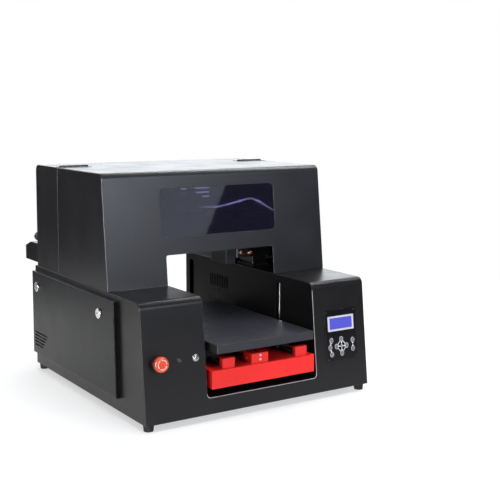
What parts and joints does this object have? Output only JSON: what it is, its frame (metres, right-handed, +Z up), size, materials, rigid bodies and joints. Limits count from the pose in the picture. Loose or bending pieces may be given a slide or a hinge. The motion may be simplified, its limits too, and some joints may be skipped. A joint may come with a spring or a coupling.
{
  "type": "flatbed UV printer",
  "caption": "Desktop flatbed UV printer: sliding print table on a red lift tray between two towers, tilting hood with tinted window, keypad, display and stop button.",
  "frame": {"origin": "bottom centre of the whole machine's box, on the surface that its feet stand on", "axes": "+X to the machine's right, +Y to the rear, +Z up"},
  "size_m": [0.722, 0.8054, 0.6191],
  "materials": {
    "black_sheet": "satin powder coat",
    "panel_black": "satin film over steel",
    "red_sheet": "satin powder coat",
    "table_black": "black anodised, fine blasted",
    "tinted_acrylic": "polished",
    "chrome": "polished",
    "white_plastic": "satin",
    "grey_plastic": "satin",
    "red_plastic": "glossy",
    "black_plastic": "fine grain",
    "rubber": "matte",
    "polished_steel": "ground",
    "aluminium": "milled",
    "motor_black": "matte",
    "bottle_plastic": "translucent",
    "zinc_case": "galvanised sheet",
    "board_green": "lacquered"
  },
  "bodies": {
    "root": {"base_shell": "black_sheet", "tunnel_liner": "black_sheet", "base_pan": "black_sheet", "feet": "rubber", "left_side_cover": "black_sheet", "right_side_cover": "black_sheet", "control_panel": "panel_black", "lcd_display": "white_plastic", "estop_collar": "black_plastic", "button_bezel": "chrome", "rear_housing": "black_sheet", "junction_box": "black_sheet", "power_inlet": "black_plastic", "guide_rods": "polished_steel", "z_motor": "motor_black", "z_belt": "rubber", "x_beam": "aluminium", "x_motor": "motor_black", "x_belt": "rubber", "ink_bottles": "bottle_plastic", "cap_station": "black_plastic", "power_supply": "zinc_case", "main_board": "board_green"},
    "hood": {"front_hood": "black_sheet", "window": "tinted_acrylic"},
    "stage": {"z_tray": "red_sheet", "lift_arms": "aluminium", "y_rails": "polished_steel", "y_motor": "motor_black", "y_belt": "rubber"},
    "table": {"table_top": "table_black", "table_base": "table_black"},
    "carriage": {"print_carriage": "black_plastic", "print_head": "black_plastic", "uv_lamp": "table_black"},
    "estop_shaft": {"estop_stem": "black_plastic"},
    "estop_knob": {"estop_head": "red_plastic"},
    "power_button": {"button_cap": "chrome"},
    "valve_knob": {"rear_knob": "black_plastic"},
    "table_pulley": {"y_pulley": "aluminium"},
    "table_idler": {"y_idler": "aluminium"},
    "carriage_pulley": {"x_pulley": "aluminium"},
    "carriage_idler": {"x_idler": "aluminium"},
    "key_menu_body": {"key_menu": "grey_plastic"},
    "key_clean_body": {"key_clean": "grey_plastic"},
    "key_load_body": {"key_load": "grey_plastic"},
    "key_up_body": {"key_up": "grey_plastic"},
    "key_left_body": {"key_left": "grey_plastic"},
    "key_right_body": {"key_right": "grey_plastic"},
    "key_down_body": {"key_down": "grey_plastic"},
    "key_start_body": {"key_start": "grey_plastic"},
    "key_stop_body": {"key_stop": "grey_plastic"},
    "left_front_lock_body": {"left_front_lock": "chrome"},
    "left_rear_lock_body": {"left_rear_lock": "chrome"},
    "right_front_lock_body": {"right_front_lock": "chrome"},
    "right_rear_lock_body": {"right_rear_lock": "chrome"},
    "front_left_screw_body": {"front_left_screw": "polished_steel"},
    "front_right_screw_body": {"front_right_screw": "polished_steel"},
    "rear_left_screw_body": {"rear_left_screw": "polished_steel"},
    "rear_right_screw_body": {"rear_right_screw": "polished_steel"}
  },
  "joints": [
    {"name": "stage_lift", "type": "slide", "parent": "root", "child": "stage", "axis": [0, 0, 1], "range_m": [-0.018, 0.126]},
    {"name": "front_left_screw_turn", "type": "hinge", "parent": "root", "child": "front_left_screw_body", "pos_m": [-0.214, -0.19067, 0.018], "axis": [0, 0, 1], "range_deg": [-830, 5700]},
    {"name": "front_right_screw_turn", "type": "hinge", "parent": "root", "child": "front_right_screw_body", "pos_m": [0.214, -0.19067, 0.018], "axis": [0, 0, 1], "range_deg": [-830, 5700]},
    {"name": "rear_left_screw_turn", "type": "hinge", "parent": "root", "child": "rear_left_screw_body", "pos_m": [-0.214, 0.27733, 0.018], "axis": [0, 0, 1], "range_deg": [-830, 5700]},
    {"name": "rear_right_screw_turn", "type": "hinge", "parent": "root", "child": "rear_right_screw_body", "pos_m": [0.214, 0.27733, 0.018], "axis": [0, 0, 1], "range_deg": [-830, 5700]},
    {"name": "table_slide", "type": "slide", "parent": "stage", "child": "table", "axis": [0, 1, 0], "range_m": [-0.06, 0.36]},
    {"name": "table_pulley_turn", "type": "hinge", "parent": "stage", "child": "table_pulley", "pos_m": [-0.01, 0.27433, 0.137], "axis": [1, 0, 0], "continuous": true},
    {"name": "table_idler_turn", "type": "hinge", "parent": "stage", "child": "table_idler", "pos_m": [-0.01, -0.36067, 0.137], "axis": [1, 0, 0], "continuous": true},
    {"name": "carriage_slide", "type": "slide", "parent": "root", "child": "carriage", "axis": [1, 0, 0], "range_m": [-0.4, 0.03]},
    {"name": "carriage_pulley_turn", "type": "hinge", "parent": "root", "child": "carriage_pulley", "pos_m": [-0.322, 0.06533, 0.467], "axis": [0, 0, 1], "continuous": true},
    {"name": "carriage_idler_turn", "type": "hinge", "parent": "root", "child": "carriage_idler", "pos_m": [0.318, 0.06533, 0.467], "axis": [0, 0, 1], "continuous": true},
    {"name": "hood_hinge", "type": "hinge", "parent": "root", "child": "hood", "pos_m": [0, 0.14083, 0.6167], "axis": [-1, 0, 0], "range_deg": [0, 75]},
    {"name": "estop_push", "type": "slide", "parent": "root", "child": "estop_shaft", "axis": [0, 0.9946, -0.1037], "range_m": [0, 0.005], "stiffness_N_per_m": 400},
    {"name": "estop_twist", "type": "hinge", "parent": "estop_shaft", "child": "estop_knob", "pos_m": [-0.3045, -0.3754, 0.1645], "axis": [0, -0.9946, 0.1037], "range_deg": [-45, 0]},
    {"name": "power_push", "type": "slide", "parent": "root", "child": "power_button", "axis": [0, 0.9946, -0.1037], "range_m": [0, 0.003], "stiffness_N_per_m": 300},
    {"name": "key_menu_push", "type": "slide", "parent": "root", "child": "key_menu_body", "axis": [0, 0.9946, -0.1037], "range_m": [0, 0.0008], "stiffness_N_per_m": 250},
    {"name": "key_clean_push", "type": "slide", "parent": "root", "child": "key_clean_body", "axis": [0, 0.9946, -0.1037], "range_m": [0, 0.0008], "stiffness_N_per_m": 250},
    {"name": "key_load_push", "type": "slide", "parent": "root", "child": "key_load_body", "axis": [0, 0.9946, -0.1037], "range_m": [0, 0.0008], "stiffness_N_per_m": 250},
    {"name": "key_up_push", "type": "slide", "parent": "root", "child": "key_up_body", "axis": [0, 0.9946, -0.1037], "range_m": [0, 0.0008], "stiffness_N_per_m": 250},
    {"name": "key_left_push", "type": "slide", "parent": "root", "child": "key_left_body", "axis": [0, 0.9946, -0.1037], "range_m": [0, 0.0008], "stiffness_N_per_m": 250},
    {"name": "key_right_push", "type": "slide", "parent": "root", "child": "key_right_body", "axis": [0, 0.9946, -0.1037], "range_m": [0, 0.0008], "stiffness_N_per_m": 250},
    {"name": "key_down_push", "type": "slide", "parent": "root", "child": "key_down_body", "axis": [0, 0.9946, -0.1037], "range_m": [0, 0.0008], "stiffness_N_per_m": 250},
    {"name": "key_start_push", "type": "slide", "parent": "root", "child": "key_start_body", "axis": [0, 0.9946, -0.1037], "range_m": [0, 0.0008], "stiffness_N_per_m": 250},
    {"name": "key_stop_push", "type": "slide", "parent": "root", "child": "key_stop_body", "axis": [0, 0.9946, -0.1037], "range_m": [0, 0.0008], "stiffness_N_per_m": 250},
    {"name": "left_front_lock_turn", "type": "hinge", "parent": "root", "child": "left_front_lock_body", "pos_m": [-0.345, -0.15367, 0.255], "axis": [1, 0, 0], "range_deg": [0, 90]},
    {"name": "left_rear_lock_turn", "type": "hinge", "parent": "root", "child": "left_rear_lock_body", "pos_m": [-0.345, 0.28133, 0.255], "axis": [1, 0, 0], "range_deg": [-90, 0]},
    {"name": "right_front_lock_turn", "type": "hinge", "parent": "root", "child": "right_front_lock_body", "pos_m": [0.345, -0.15367, 0.255], "axis": [1, 0, 0], "range_deg": [-90, 0]},
    {"name": "right_rear_lock_turn", "type": "hinge", "parent": "root", "child": "right_rear_lock_body", "pos_m": [0.345, 0.28133, 0.255], "axis": [1, 0, 0], "range_deg": [0, 90]},
    {"name": "rear_knob_turn", "type": "hinge", "parent": "root", "child": "valve_knob", "pos_m": [-0.329, 0.30333, 0.3975], "axis": [0, 1, 0], "range_deg": [-180, 180]}
  ],
  "couplings": [
    {"joint": "front_left_screw_turn", "follows": "stage_lift", "rad_per_m": 785.4},
    {"joint": "front_right_screw_turn", "follows": "stage_lift", "rad_per_m": 785.4},
    {"joint": "rear_left_screw_turn", "follows": "stage_lift", "rad_per_m": 785.4},
    {"joint": "rear_right_screw_turn", "follows": "stage_lift", "rad_per_m": 785.4},
    {"joint": "table_pulley_turn", "follows": "table_slide", "rad_per_m": -124.22},
    {"joint": "table_idler_turn", "follows": "table_slide", "rad_per_m": -124.22},
    {"joint": "carriage_pulley_turn", "follows": "carriage_slide", "rad_per_m": 124.22},
    {"joint": "carriage_idler_turn", "follows": "carriage_slide", "rad_per_m": 124.22}
  ]
}
